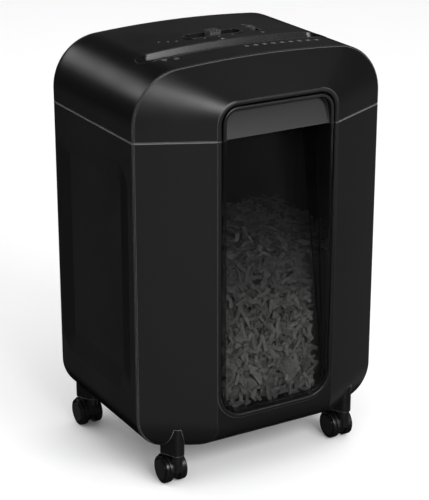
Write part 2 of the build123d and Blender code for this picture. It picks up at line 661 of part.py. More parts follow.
def make_comb(side):
    """Bar beside a cutter shaft whose fingers clear shreds from between the discs."""
    shaft_y = FRONT_SHAFT_Y if side < 0 else REAR_SHAFT_Y
    y_in, y_out = shaft_y + side * (DISC_R + 0.7), shaft_y + side * (DISC_R + 4.4)
    tip = shaft_y + side * (CORE_R + 0.8)
    y0, y1 = sorted((y_in, y_out))
    solid = block(-PLATE_X, PLATE_X, y0, y1, COMB_Z, COMB_Z + 10)
    count = DISC_COUNT - 1 if side < 0 else DISC_COUNT - 2
    first = -(count - 1) / 2 * DISC_PITCH
    t0, t1 = sorted((tip, y_in + side))
    fingers = [block(first + i * DISC_PITCH - 1.5, first + i * DISC_PITCH + 1.5, t0, t1, COMB_Z, COMB_Z + 10)
               for i in range(count)]
    return solid + fingers


def make_gearbox_cover():
    """Cover over the gears, stepped to clear the well: (y, z) corners outside and inside its wall."""
    outer = [(-41, 403.2), (10.8, 403.2), (10.8, 419.2), (62, 419.2), (62, 465.6), (-41, 465.6)]
    inner = [(-39, 405.0), (8.8, 405.0), (8.8, 421), (60, 421), (60, 464.2), (-39, 464.2)]
    x0, x1 = PLATE_X + PLATE_T, GEARBOX_X
    solid = across(outer, x0, x1) - across(inner, x0 - 1, x1 - 2)
    return solid - rod(x0 - 1, x0 + 3, FRONT_SHAFT_Y, SHAFT_Z, BUSH_R + 1)


def make_motor_case():
    """Motor can, open at the far end, with its front wall on the right plate."""
    back, front = PLATE_X - MOTOR_LEN + 5.5, PLATE_X
    solid = rod(back, front, MOTOR_Y, MOTOR_Z, MOTOR_R)
    solid -= rod(back - 1, front - 3, MOTOR_Y, MOTOR_Z, MOTOR_R - 2.5)
    return solid - rod(front - 5, front + 1, MOTOR_Y, MOTOR_Z, ROTOR_R + RUNNING)


def make_motor_endcap():
    """Far end of the motor, with the shaft's second bearing."""
    back = PLATE_X - MOTOR_LEN
    solid = rod(back, back + 5.5, MOTOR_Y, MOTOR_Z, MOTOR_R)
    return solid - rod(back - 1, back + 7, MOTOR_Y, MOTOR_Z, ROTOR_R + RUNNING)


def make_motor_rotor():
    """Armature on its shaft, with the pinion cut at the end."""
    back = PLATE_X - MOTOR_LEN
    solid = rod(back + 0.5, FAST_X1, MOTOR_Y, MOTOR_Z, ROTOR_R)
    solid += rod(back + 18, PLATE_X - 15, MOTOR_Y, MOTOR_Z, 20.0)
    toward = tooth_angle(MOTOR_Y, MOTOR_Z, IDLER_Y, IDLER_Z)
    pinion = gear(PINION_TEETH, FAST_MODULE, MOTOR_Y, MOTOR_Z, FAST_X0, FAST_X1, toward, ROTOR_R - 0.5)
    return solid + pinion


def tooth_angle(y0, z0, y1, z1):
    """Direction from one shaft to the next, in radians from +Y towards +Z."""
    turn = acos((y1 - y0) / sqrt((y1 - y0) ** 2 + (z1 - z0) ** 2))
    return turn if z1 >= z0 else -turn


def make_reduction_gear():
    """Large and small gear in one piece, turning on a fixed pin."""
    to_motor = tooth_angle(IDLER_Y, IDLER_Z, MOTOR_Y, MOTOR_Z)
    to_drive = tooth_angle(IDLER_Y, IDLER_Z, REAR_SHAFT_Y, SHAFT_Z)
    bore = IDLER_PIN_R + RUNNING
    large = gear(LARGE_TEETH, FAST_MODULE, IDLER_Y, IDLER_Z, FAST_X0, FAST_X1,
                 to_motor + pi / LARGE_TEETH, bore)
    small = gear(SMALL_TEETH, SLOW_MODULE, IDLER_Y, IDLER_Z, FAST_X1, SLOW_X1,
                 to_drive + pi / SMALL_TEETH, bore)
    return large + small


def make_drive_gear():
    """Last gear of the reduction, on the rear cutter shaft."""
    toward = tooth_angle(REAR_SHAFT_Y, SHAFT_Z, IDLER_Y, IDLER_Z)
    return gear(DRIVE_TEETH, SLOW_MODULE, REAR_SHAFT_Y, SHAFT_Z, SLOW_X0, SLOW_X1, toward, JOURNAL_R)


def make_sync_gear(y, phase):
    """One of the pair that makes the two cutter shafts turn together."""
    return gear(SYNC_TEETH, SYNC_MODULE, y, SHAFT_Z, -PLATE_X - 14, -PLATE_X - 6, phase, JOURNAL_R)


def make_interlock_switch():
    """Housing on the tray that guides the plunger."""
    low, top = TRAY_TOP + 14, PLUNGER_TOP + OVER_TRAVEL + 3
    y0, y1 = INTERLOCK_Y - 7, INTERLOCK_Y + 7
    solid = block(INTERLOCK_X - 5, INTERLOCK_X + 5.5, y0, y1, TRAY_TOP, low)
    solid += block(INTERLOCK_X - 5, INTERLOCK_X + 4.3, y0, y1, low, top)
    solid -= post(INTERLOCK_X, INTERLOCK_Y, TRAY_TOP - 1, POST_TOP + 2, 4.4)
    return solid - post(INTERLOCK_X, INTERLOCK_Y, POST_TOP, top - 2, PLUNGER_R + RUNNING)


def make_circuit_board():
    """Board on four posts: relay, transformer, two capacitors and a connector strip."""
    solid = block(BOARD_X0, BOARD_X1, BOARD_Y0, BOARD_Y1, BOARD_Z, BOARD_Z + 1.6)
    top = BOARD_Z + 1.6
    solid += block(BOARD_X0 + 8, BOARD_X0 + 27, BOARD_Y0 + 12, BOARD_Y0 + 28, top - 0.2, top + 16)
    solid += block(BOARD_X0 + 34, BOARD_X0 + 48, BOARD_Y0 + 8, BOARD_Y0 + 20, top - 0.2, top + 10)
    solid += post(BOARD_X0 + 20, BOARD_Y1 - 18, top - 0.2, top + 20, 6.5)
    solid += post(BOARD_X0 + 40, BOARD_Y1 - 18, top - 0.2, top + 14, 5.0)
    return solid + block(BOARD_X1 - 24, BOARD_X1 - 12, BOARD_Y0 + 10, BOARD_Y1 - 10, top - 0.2, top + 8)


def make_cord_gland():
    """Bushing in the rear wall for the supply lead."""
    y = REAR_Y
    turn = Rot(90, 0, 0)
    solid = Pos(GLAND_X, y - 4, GLAND_Z) * turn * Cylinder(6.0, 8.0)
    solid += Pos(GLAND_X, y - WALL - 2, GLAND_Z) * turn * Cylinder(8.5, 4.0)
    return solid - Pos(GLAND_X, y, GLAND_Z) * turn * Cylinder(3.6, 40)


def make_cover_screws():
    """Screws that hold the tray to the cover, driven from below."""
    screws = []
    for x, y in COVER_SCREWS:
        solid = post(x, y, TRAY_LOW, TRAY_TOP + SCREW_LEN - 1, SCREW_R)
        screws.append(solid + post(x, y, TRAY_LOW - 2.0, TRAY_LOW, 3.6))
    return Compound(screws)


# ---------------------------------------------------------------- casters
def caster_stem(x, y):
    """Steel stem with a thinner spigot that is pressed between the wheels."""
    return post(x, y, NECK_Z, BOSS_LOW + STEM_IN, STEM_R) + post(x, y, 24.0, NECK_Z, SPIGOT_R)


def make_caster_hood(x, y):
    """Drum between the wheels, hoods over their inner halves and a collar round the stem."""
    axle_y = y + TRAIL
    half = WHEEL_IN - 0.6
    solid = rod(x - HOOD_HALF, x + HOOD_HALF, axle_y, WHEEL_R, WHEEL_R + 1.9)
    for side in (-1, 1):
        x0, x1 = sorted((x + side * half, x + side * (HOOD_HALF + 1)))
        solid -= rod(x0, x1, axle_y, WHEEL_R, WHEEL_R + 0.5)
    solid -= block(x - 20, x + 20, y - 20, axle_y + 40, -30, WHEEL_R + 2)
    solid += rod(x - half, x + half, axle_y, WHEEL_R, DRUM_R)
    solid += block(x - half, x + half, y - 5, axle_y, 18.0, NECK_Z)
    solid += post(x, y, NECK_Z - 1.5, BOSS_LOW - 1.0, STEM_R + 2.6)
    solid -= rod(x - 20, x + 20, axle_y, WHEEL_R, AXLE_R)
    return solid - caster_stem(x, y)


def make_caster_pins(x, y):
    """Steel stem and steel axle of one caster."""
    washer = post(x, y, BOSS_LOW - 1.0, BOSS_LOW - 0.3, STEM_R + 1.5)
    axle = rod(x - WHEEL_IN - WHEEL_W + 2, x + WHEEL_IN + WHEEL_W - 2, y + TRAIL, WHEEL_R, AXLE_R)
    return Compound([caster_stem(x, y) + washer, axle])


def make_caster_wheel(x, y, side):
    """Wheel with a tread, a groove and a domed cap on its outer face."""
    axle_y = y + TRAIL
    inner, outer = x + side * WHEEL_IN, x + side * (WHEEL_IN + WHEEL_W)
    x0, x1 = sorted((inner, outer))
    solid = rod(x0, x1, axle_y, WHEEL_R, WHEEL_R)
    solid = fillet(solid.edges().filter_by(GeomType.CIRCLE), 1.6)
    ring = rod(x0, x1, axle_y, WHEEL_R, WHEEL_R - 2.0) - rod(x0, x1, axle_y, WHEEL_R, WHEEL_R - 3.4)
    solid -= Pos(side * (WHEEL_W - 1.5), 0, 0) * ring
    face = outer + side * 1.2
    c0, c1 = sorted((face, outer - side))
    cap = rod(c0, c1, axle_y, WHEEL_R, WHEEL_R - 3.6)
    solid += chamfer(cap.faces().sort_by(Axis.X)[-1 if side > 0 else 0].edges(), 1.0)
    b0, b1 = sorted((inner - side, outer - side * 1.5))
    return solid - rod(b0, b1, axle_y, WHEEL_R, AXLE_R + RUNNING)


# ---------------------------------------------------------------- write every node
window = make_window()
nodes = {
    "bin_shell": make_bin_shell,
    "front_panel": make_front_panel,
    "window": lambda: window,
    "window_surround": lambda: make_window_surround(window),
    "bin_rim": make_bin_rim,
    "interlock_post": make_interlock_post,
    "caster_bosses": make_caster_bosses,
    "shredded_paper": make_shredded_paper,
    "head_cover": make_head_cover,
    "head_fascia": make_head_fascia,
    "lift_lip": make_lift_lip,
    "throat_guide": make_throat_guide,
    "paper_flag": make_paper_flag,
    "control_bezel": make_control_bezel,
    "control_slider": make_control_slider,
    "safety_lock": make_safety_lock,
    "selector_switch": make_selector_switch,
    "head_tray": make_head_tray,
    "end_plate_left": make_left_plate,
    "end_plate_right": make_right_plate,
    "tie_rods": make_tie_rods,
    "shaft_bushes": make_bushes,
    "cutter_shaft_front": lambda: make_cutter_shaft(
        FRONT_SHAFT_Y, -(DISC_COUNT - 1) / 2 * DISC_PITCH, DISC_COUNT,
        -PLATE_X - 16, PLATE_X + PLATE_T + 0.5),
    "cutter_shaft_rear": lambda: make_cutter_shaft(
        REAR_SHAFT_Y, -(DISC_COUNT - 2) / 2 * DISC_PITCH, DISC_COUNT - 1, -PLATE_X - 16, SLOW_X1 + 1),
    "comb_front": lambda: make_comb(-1),
    "comb_rear": lambda: make_comb(1),
    "sync_gear_front": lambda: make_sync_gear(FRONT_SHAFT_Y, 0.0),
    "sync_gear_rear": lambda: make_sync_gear(REAR_SHAFT_Y, pi + pi / SYNC_TEETH),
    "drive_gear": make_drive_gear,
    "reduction_gear": make_reduction_gear,
    "reduction_pin": lambda: rod(PLATE_X, SLOW_X1 + 1.4, IDLER_Y, IDLER_Z, IDLER_PIN_R),
    "gearbox_cover": make_gearbox_cover,
    "motor_case": make_motor_case,
    "motor_endcap": make_motor_endcap,
    "motor_rotor": make_motor_rotor,
    "interlock_switch": make_interlock_switch,
    "interlock_plunger": lambda: post(INTERLOCK_X, INTERLOCK_Y, POST_TOP + 0.2, PLUNGER_TOP, PLUNGER_R),
    "circuit_board": make_circuit_board,
    "cord_gland": make_cord_gland,
    "cover_screws": make_cover_screws,
}
for node, make in nodes.items():
    save(node, make())
for corner, (x, y) in CASTERS.items():
    save(f"caster_hood_{corner}", make_caster_hood(x, y))
    save(f"caster_pins_{corner}", make_caster_pins(x, y))
    save(f"wheel_left_{corner}", make_caster_wheel(x, y, -1))
    save(f"wheel_right_{corner}", make_caster_wheel(x, y, 1))
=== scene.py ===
# %% [markdown]
# # A paper shredder in black plastic
#
# The real object is a tall waste bin on four casters, with a leaning window in its front and a cutting
# head that lifts off its top. Its moving and load-carrying parts come from a CAD model. Here they get
# their finishes. The heap of shreds, which the CAD model only stands in for, and the printed marks are
# modelled here. The frame is loaded first, so that later places can be worked out from it.

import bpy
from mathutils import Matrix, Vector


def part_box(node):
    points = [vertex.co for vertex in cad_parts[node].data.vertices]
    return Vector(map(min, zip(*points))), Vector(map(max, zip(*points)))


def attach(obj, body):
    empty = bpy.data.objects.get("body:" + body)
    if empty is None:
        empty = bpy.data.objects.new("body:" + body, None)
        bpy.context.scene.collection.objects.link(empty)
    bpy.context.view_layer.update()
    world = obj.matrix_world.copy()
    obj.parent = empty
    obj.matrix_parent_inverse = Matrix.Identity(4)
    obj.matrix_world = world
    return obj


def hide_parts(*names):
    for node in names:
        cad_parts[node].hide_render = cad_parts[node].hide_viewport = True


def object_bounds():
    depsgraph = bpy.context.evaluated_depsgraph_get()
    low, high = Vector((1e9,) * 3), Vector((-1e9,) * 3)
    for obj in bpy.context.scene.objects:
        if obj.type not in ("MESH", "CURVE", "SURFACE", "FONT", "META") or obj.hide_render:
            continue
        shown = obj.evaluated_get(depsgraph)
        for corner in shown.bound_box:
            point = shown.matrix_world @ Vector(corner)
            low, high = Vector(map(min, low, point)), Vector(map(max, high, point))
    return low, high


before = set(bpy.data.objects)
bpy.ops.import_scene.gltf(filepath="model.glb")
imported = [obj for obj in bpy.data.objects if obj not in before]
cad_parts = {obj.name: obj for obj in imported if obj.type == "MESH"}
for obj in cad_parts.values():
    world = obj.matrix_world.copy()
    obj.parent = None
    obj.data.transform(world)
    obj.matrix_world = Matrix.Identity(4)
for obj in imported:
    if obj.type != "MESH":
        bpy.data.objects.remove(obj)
cad_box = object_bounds()
print("the object measures", [round((high - low) * 1000) for low, high in zip(*cad_box)], "mm")

# %% [markdown]
# ## Working in edit mode
#
# A modelling operator acts on everything that is selected. So each piece starts with nothing selected,
# is shaped in edit mode, and ends with its place put into its mesh, the way the CAD parts have it.
# Faces and edges are chosen here by a test on their middle or their direction, because that still
# picks the right ones when a size changes.

# %% Helpers for modelling
from math import cos, pi, radians, sin
from random import Random

import bmesh
import bpy
from mathutils import Matrix, Vector

MM = 0.001


def deselect():
    """Leaves nothing selected, in object mode."""
    if bpy.context.object and bpy.context.object.mode != "OBJECT":
        bpy.ops.object.mode_set(mode="OBJECT")
    bpy.ops.object.select_all(action="DESELECT")


def edit(piece):
    """Enters edit mode on one piece, with all of it selected."""
    deselect()
    piece.select_set(True)
    bpy.context.view_layer.objects.active = piece
    bpy.ops.object.mode_set(mode="EDIT")
    bpy.ops.mesh.select_all(action="SELECT")


def pick(kind, chosen):
    """In edit mode, selects only the "verts", "edges" or "faces" that chosen says yes to."""
    bpy.ops.mesh.select_mode(type={"verts": "VERT", "edges": "EDGE", "faces": "FACE"}[kind])
    bpy.ops.mesh.select_all(action="DESELECT")
    mesh = bpy.context.object.data
    shape = bmesh.from_edit_mesh(mesh)
    for part in getattr(shape, kind):
        if chosen(part):
            part.select_set(True)
    bmesh.update_edit_mesh(mesh)


def modify(piece, kind, **settings):
    """Adds a modifier to a piece and applies it."""
    deselect()
    piece.select_set(True)
    bpy.context.view_layer.objects.active = piece
    modifier = piece.modifiers.new(kind.lower(), kind)
    for name, value in settings.items():
        setattr(modifier, name, value)
    bpy.ops.object.modifier_apply(modifier=modifier.name)


def join(pieces, name):
    """Joins pieces into one, under a new name."""
    deselect()
    for piece in pieces:
        piece.select_set(True)
    bpy.context.view_layer.objects.active = pieces[0]
    bpy.ops.object.join()
    pieces[0].name = name
    return pieces[0]


def copy_of(piece, place):
    """A copy with its own mesh, moved by the matrix place."""
    made = piece.copy()
    made.data = piece.data.copy()
    made.data.transform(place)
    bpy.context.scene.collection.objects.link(made)
    return made


def settle(piece, body, material, smooth=30.0):
    """Puts a piece's place into its mesh, shades it and lets it ride on its body."""
    deselect()
    piece.select_set(True)
    bpy.context.view_layer.objects.active = piece
    bpy.ops.object.transform_apply(location=True, rotation=True, scale=True)
    if smooth:
        bpy.ops.object.shade_smooth_by_angle(angle=radians(smooth))
    piece.data.materials.clear()
    piece.data.materials.append(material)
    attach(piece, body)
    print(piece.name, "has", len(piece.data.polygons), "faces")


# %% [markdown]
# ## Colours and shader nodes
#
# A hex colour is what the eye sees on a screen, and the renderer wants linear light, so one function
# turns the first into the second. Another adds a shader node with its settings and links, which
# keeps each material below to the few lines that say what it is.

# %% Helpers for materials
def colour(code):
    """Linear RGBA for an sRGB hex colour."""
    parts = [int(code[i:i + 2], 16) / 255 for i in (1, 3, 5)]
    return tuple(c / 12.92 if c <= 0.04045 else ((c + 0.055) / 1.055) ** 2.4 for c in parts) + (1.0,)


def node(tree, kind, settings=None, links=None):
    """Adds a shader node, sets its inputs or properties, and links outputs into its inputs."""
    made = tree.nodes.new("ShaderNode" + kind)
    for name, value in (settings or {}).items():
        if isinstance(name, str) and hasattr(made, name) and name not in made.inputs:
            setattr(made, name, value)
    for name, value in (settings or {}).items():
        if not isinstance(name, str) or name in made.inputs:
            made.inputs[name].default_value = value
    for name, output in (links or {}).items():
        tree.links.new(output, made.inputs[name])
    return made


def new_material(name, **settings):
    """A material with one Principled shader, and its node tree and shader."""
    material = bpy.data.materials.new(name)
    material.use_nodes = True
    tree = material.node_tree
    shader = tree.nodes["Principled BSDF"]
    for key, value in settings.items():
        shader.inputs[key.replace("_", " ").title().replace("Ior", "IOR")].default_value = value
    return material, tree, shader


# %% [markdown]
# ## Moulded plastic
#
# The shells are injection-moulded ABS. The steel mould is spark-eroded, which leaves a fine even grain
# that turns a hard gloss into a soft one. Three things make such a surface look real: the grain, a sheen
# that drifts a little over a hand's width, and edges that are rounded and rubbed shinier than the
# faces. The Bevel node rounds the edges for the light without changing the CAD mesh, and comparing its
# normal with the true one finds the edges. There they get a lower roughness and a lighter colour, which is
# partly rubbing wear and partly a painted highlight along the edge. The real grain is about 0.2 mm
# and too fine to show, so it is drawn about four times as coarse.

# %% Moulded plastic
ABS_IOR = 1.53


def moulded_plastic(name, face, edge_wear_and_highlight, roughness, grain=0.8 * MM, edge=0.5 * MM, depth=0.03 * MM):
    """Opaque moulded plastic with a spark-eroded grain, a drifting sheen and rounded edges, lightened by
    rubbing wear and a painted highlight.
    """
    material, tree, shader = new_material(name, ior=ABS_IOR)
    place = node(tree, "TexCoord").outputs["Object"]
    fine = node(tree, "TexNoise", {"Scale": 1 / grain, "Detail": 2.0, "Roughness": 0.6}, {"Vector": place})
    broad = node(tree, "TexNoise", {"Scale": 1 / (70 * MM), "Detail": 3.0}, {"Vector": place})
    rounded = node(tree, "Bevel", {"samples": 6, "Radius": edge})
    flat = node(tree, "NewGeometry")
    turned = node(tree, "VectorMath", {"operation": "DOT_PRODUCT"},
                  {0: rounded.outputs["Normal"], 1: flat.outputs["Normal"]})
    edges = node(tree, "MapRange", {1: 0.80, 2: 0.99, 3: 1.0, 4: 0.0}, {0: turned.outputs["Value"]})
    # At the edges the colour turns to the lighter edge colour: some rubbing wear, and on the black shells
    # mostly a painted highlight.
    tint = node(tree, "Mix", {"data_type": "RGBA", 6: colour(face), 7: colour(edge_wear_and_highlight)},
                {0: edges.outputs[0]})
    tree.links.new(tint.outputs[2], shader.inputs["Base Color"])
    sheen = node(tree, "MapRange", {1: 0.3, 2: 0.7, 3: roughness - 0.03, 4: roughness + 0.04},
                 {0: broad.outputs[0]})
    worn = node(tree, "Mix", {"data_type": "FLOAT", 3: roughness * 0.75},
                {0: edges.outputs[0], 2: sheen.outputs[0]})
    tree.links.new(worn.outputs[0], shader.inputs["Roughness"])
    bump = node(tree, "Bump", {"Strength": 0.25, "Distance": depth},
                {"Height": fine.outputs[0], "Normal": rounded.outputs["Normal"]})
    tree.links.new(bump.outputs[0], shader.inputs["Normal"])
    return material


# Black ABS of the shells: satin, a hair warmer than pure black.
# Its light grey edge colour is mostly a painted highlight along the edges, with a little rubbing wear.
shell_abs = moulded_plastic("black_abs_spark_grain", "#101011", "#78787b", 0.34, edge=1.0 * MM)
# The frame of the window and the lip are cut in a polished part of the mould, so they are glossier.
# Its light grey edge colour is likewise mostly a painted highlight.
frame_abs = moulded_plastic("black_abs_polished", "#0f0f10", "#78787b", 0.30, depth=0.01 * MM)
# The throat is rubbed by paper and stays glossy.
throat_abs = moulded_plastic("black_abs_paper_rubbed", "#141415", "#2a2a2c", 0.22, depth=0.01 * MM)
# Sliders are moulded in grey so that they can be found by eye.
slider_abs = moulded_plastic("grey_abs_satin", "#3a3b3d", "#55565a", 0.34)
# Hidden trays and covers are polypropylene, duller and a little greyer than ABS.
inner_pp = moulded_plastic("black_polypropylene_matte", "#17171a", "#242428", 0.52, grain=1.2 * MM)
# Caster hoods are glass-filled nylon: the fibres show as a coarser grain under a waxy gloss.
caster_pa = moulded_plastic("black_glass_filled_nylon", "#131314", "#252527", 0.30, grain=1.0 * MM)
# Wheel discs are hard polypropylene with a shine from the polished mould.
wheel_pp = moulded_plastic("black_polypropylene_gloss", "#101011", "#1f1f21", 0.24, grain=0.9 * MM)
# Natural nylon gears: ivory, a little waxy.
gear_pa = moulded_plastic("natural_nylon", "#cfc8b2", "#ded8c6", 0.42)
# The cord's bush is thermoplastic rubber, matt and faintly grey from dust.
cord_rubber = moulded_plastic("grey_black_rubber", "#1a1a1a", "#2b2b2a", 0.62,
                              grain=1.0 * MM, depth=0.06 * MM)
print("plastics:", shell_abs.name, frame_abs.name, throat_abs.name, slider_abs.name, inner_pp.name,
      caster_pa.name, wheel_pp.name, gear_pa.name, cord_rubber.name)

# %% [markdown]
# ## Metals
#
# The plates, rods and screws are zinc-plated steel, the cutters hardened tool steel, and the shaft
# sleeves sintered bronze. Plated sheet shows the streaks of the rolling mill under its plating, so its
# noise is stretched along the sheet. Ground steel has finer lines, and sintered bronze is powder pressed
# together, so it gets dark pores. Each is fully metallic, with its tint in the base colour.

# %% Metals
def plated_steel(name, face, stained, roughness, streak):
    """Steel with fine streaks along its length; streak is the width of one streak."""
    material, tree, shader = new_material(name, metallic=1.0)
    place = node(tree, "TexCoord").outputs["Object"]
    along = node(tree, "Mapping", {"Scale": (0.06, 1.0, 1.0)}, {"Vector": place})
    lines = node(tree, "TexNoise", {"Scale": 1 / streak, "Detail": 4.0}, {"Vector": along.outputs[0]})
    clouds = node(tree, "TexNoise", {"Scale": 1 / (9 * MM), "Detail": 3.0}, {"Vector": place})
    tint = node(tree, "Mix", {"data_type": "RGBA", 6: colour(face), 7: colour(stained)},
                {0: clouds.outputs[0]})
    tree.links.new(tint.outputs[2], shader.inputs["Base Color"])
    dull = node(tree, "MapRange", {1: 0.3, 2: 0.7, 3: roughness - 0.06, 4: roughness + 0.08},
                {0: lines.outputs[0]})
    tree.links.new(dull.outputs[0], shader.inputs["Roughness"])
    bump = node(tree, "Bump", {"Strength": 0.2, "Distance": 0.02 * MM}, {"Height": lines.outputs[0]})
    tree.links.new(bump.outputs[0], shader.inputs["Normal"])
    return material


def sintered_bronze():
    """Pressed powder bronze, soaked in oil: matt, with dark pores."""
    material, tree, shader = new_material("sintered_bronze", metallic=1.0)
    place = node(tree, "TexCoord").outputs["Object"]
    pores = node(tree, "TexVoronoi", {"Scale": 1 / (0.7 * MM)}, {"Vector": place})
    open_pores = node(tree, "MapRange", {1: 0.10, 2: 0.30, 3: 1.0, 4: 0.0}, {0: pores.outputs["Distance"]})
    tint = node(tree, "Mix", {"data_type": "RGBA", 6: colour("#9a7446"), 7: colour("#3c2d1d")},
                {0: open_pores.outputs[0]})
    tree.links.new(tint.outputs[2], shader.inputs["Base Color"])
    dull = node(tree, "MapRange", {1: 0.0, 2: 1.0, 3: 0.42, 4: 0.7}, {0: open_pores.outputs[0]})
    tree.links.new(dull.outputs[0], shader.inputs["Roughness"])
    return material


zinc_steel = plated_steel("zinc_plated_steel", "#b9bcc0", "#9fa2a6", 0.34, 1.2 * MM)
tool_steel = plated_steel("ground_tool_steel", "#8d8f92", "#75777a", 0.28, 0.8 * MM)
caster_steel = plated_steel("black_zinc_steel", "#3b3c3e", "#2b2c2e", 0.30, 0.8 * MM)
bronze = sintered_bronze()
print("metals:", zinc_steel.name, tool_steel.name, caster_steel.name, bronze.name)

# %% [markdown]
# ## The circuit board
#
# The control board is one CAD node, a glass-fibre sheet with blocks and cans on it. The sheet is only
# 1.6 mm thick, so height alone tells the green solder mask from the parts above it, and a voronoi
# pattern, whose cells are a few millimetres wide, gives each part its own dark tone. Thin
# tracks come from a second voronoi pattern whose cell borders are thin lines.

# %% Circuit board
def board_material():
    """Green solder mask with copper tracks, and dark parts above it."""
    material, tree, shader = new_material("green_solder_mask", ior=1.5, roughness=0.35)
    mask_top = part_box("circuit_board")[0].z + 1.6 * MM
    place = node(tree, "TexCoord").outputs["Object"]
    height = node(tree, "SeparateXYZ", {}, {0: place})
    is_part = node(tree, "Math", {"operation": "GREATER_THAN", 1: mask_top + 0.05 * MM},
                   {0: height.outputs["Z"]})
    tracks = node(tree, "TexVoronoi", {"feature": "DISTANCE_TO_EDGE", "Scale": 1 / (6 * MM)},
                  {"Vector": place})
    on_track = node(tree, "MapRange", {1: 0.03, 2: 0.06, 3: 1.0, 4: 0.0}, {0: tracks.outputs[0]})
    mask = node(tree, "Mix", {"data_type": "RGBA", 6: colour("#0f4a2c"), 7: colour("#2c7a4a")},
                {0: on_track.outputs[0]})
    parts = node(tree, "TexVoronoi", {"Scale": 1 / (14 * MM)}, {"Vector": place})
    tone = node(tree, "Mix", {"data_type": "RGBA", 6: colour("#1b1b1d"), 7: colour("#4a4d55")},
                {0: parts.outputs["Distance"]})
    tint = node(tree, "Mix", {"data_type": "RGBA"},
                {0: is_part.outputs[0], 6: mask.outputs[2], 7: tone.outputs[2]})
    tree.links.new(tint.outputs[2], shader.inputs["Base Color"])
    bump = node(tree, "Bump", {"Strength": 0.3, "Distance": 0.05 * MM}, {"Height": on_track.outputs[0]})
    tree.links.new(bump.outputs[0], shader.inputs["Normal"])
    return material


solder_mask = board_material()
print("board finish:", solder_mask.name)

# %% [markdown]
# ## The smoked window
#
# The window is a sheet of smoked acrylic, tinted in the mass and glossy. Real refraction would hide the
# shreds in noise, and a pane this thin doesn't bend what is behind it, so it is made half clear
# with alpha: the clear share shows the bin, the rest is black and carries the gloss. A faint haze of
# fine scratches, left by cleaning, breaks up the reflections.

# %% Smoked acrylic
def smoked_acrylic():
    """Tinted clear sheet with fine wiping scratches."""
    material, tree, shader = new_material("smoked_acrylic", ior=1.49, alpha=0.47)
    place = node(tree, "TexCoord").outputs["Object"]
    wiped = node(tree, "Mapping", {"Rotation": (0.0, radians(24), 0.0), "Scale": (1.0, 1.0, 0.05)},
                 {"Vector": place})
    scratches = node(tree, "TexNoise", {"Scale": 1 / (1.0 * MM), "Detail": 3.0}, {"Vector": wiped.outputs[0]})
    haze = node(tree, "MapRange", {1: 0.45, 2: 0.75, 3: 0.09, 4: 0.2}, {0: scratches.outputs[0]})
    tree.links.new(haze.outputs[0], shader.inputs["Roughness"])
    film = node(tree, "TexNoise", {"Scale": 1 / (40 * MM), "Detail": 2.0}, {"Vector": place})
    tint = node(tree, "Mix", {"data_type": "RGBA", 6: colour("#0c0c0d"), 7: colour("#151516")},
                {0: film.outputs[0]})
    tree.links.new(tint.outputs[2], shader.inputs["Base Color"])
    return material


window_acrylic = smoked_acrylic()
print("window finish:", window_acrylic.name)

# %% [markdown]
# ## Finishes for the CAD parts
#
# Every CAD part that shows gets its finish here, by its name. The parts on both sides and at all four
# corners share a start of name, so one line covers each family.

# %% Give the CAD parts their finishes
FINISHES = {
    shell_abs: ["bin_shell", "front_panel", "head_cover", "head_fascia", "caster_bosses"],
    frame_abs: ["window_surround", "lift_lip"],
    throat_abs: ["throat_guide", "control_bezel"],
    slider_abs: ["control_slider", "safety_lock"],
    inner_pp: ["bin_rim", "interlock_post", "head_tray", "gearbox_cover", "interlock_switch",
               "interlock_plunger", "selector_switch", "paper_flag", "motor_endcap"],
    window_acrylic: ["window"],
    zinc_steel: ["end_plate", "tie_rods", "motor_case", "cover_screws", "reduction_pin"],
    tool_steel: ["cutter_shaft", "comb_front", "comb_rear", "motor_rotor", "sync_gear", "drive_gear"],
    bronze: ["shaft_bushes"],
    gear_pa: ["reduction_gear"],
    solder_mask: ["circuit_board"],
    cord_rubber: ["cord_gland"],
    caster_pa: ["caster_hood"],
    caster_steel: ["caster_pins"],
    wheel_pp: ["wheel_left", "wheel_right"],
}
finished = set()
for finish, starts in FINISHES.items():
    for name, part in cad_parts.items():
        if any(name.startswith(start) for start in starts):
            for place in part.material_slots:
                place.material = finish
            finished.add(name)
print("CAD parts left without a finish:", sorted(set(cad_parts) - finished))

# %% [markdown]
# ## One shred
#
# The cutters drop small flat flakes of paper, about 5 mm wide and 20 mm long, curled by the
# blades. One flake is a thin strip of five squares that a bend gives its curl and a twist its turn, and a
# little thickness closes it. Five flakes with different curls are enough, because a heap turns
# every copy another way.

# %% Model five curled shreds
SHRED_LENGTH = 20 * MM
SHRED_WIDTH = 4.6 * MM
PAPER_THICKNESS = 0.25 * MM


def make_shred(bend, twist):
    """One flake of paper along X, curled by bend and turned by twist, in degrees."""
    deselect()
    bpy.ops.mesh.primitive_grid_add(x_subdivisions=5, y_subdivisions=1, size=1.0)
    shred = bpy.context.object
    edit(shred)
    bpy.ops.transform.resize(value=(SHRED_LENGTH, SHRED_WIDTH, 1.0))
    bpy.ops.object.mode_set(mode="OBJECT")
    modify(shred, "SIMPLE_DEFORM", deform_method="TWIST", deform_axis="X", angle=radians(twist))
    modify(shred, "SIMPLE_DEFORM", deform_method="BEND", deform_axis="Z", angle=radians(bend))
    modify(shred, "SOLIDIFY", thickness=PAPER_THICKNESS, offset=0.0)
    return shred


shreds = [make_shred(bend, twist) for bend, twist in ((10, 0), (45, 10), (80, -20), (-60, 30), (25, -45))]
print("one shred has", len(shreds[0].data.polygons), "faces")
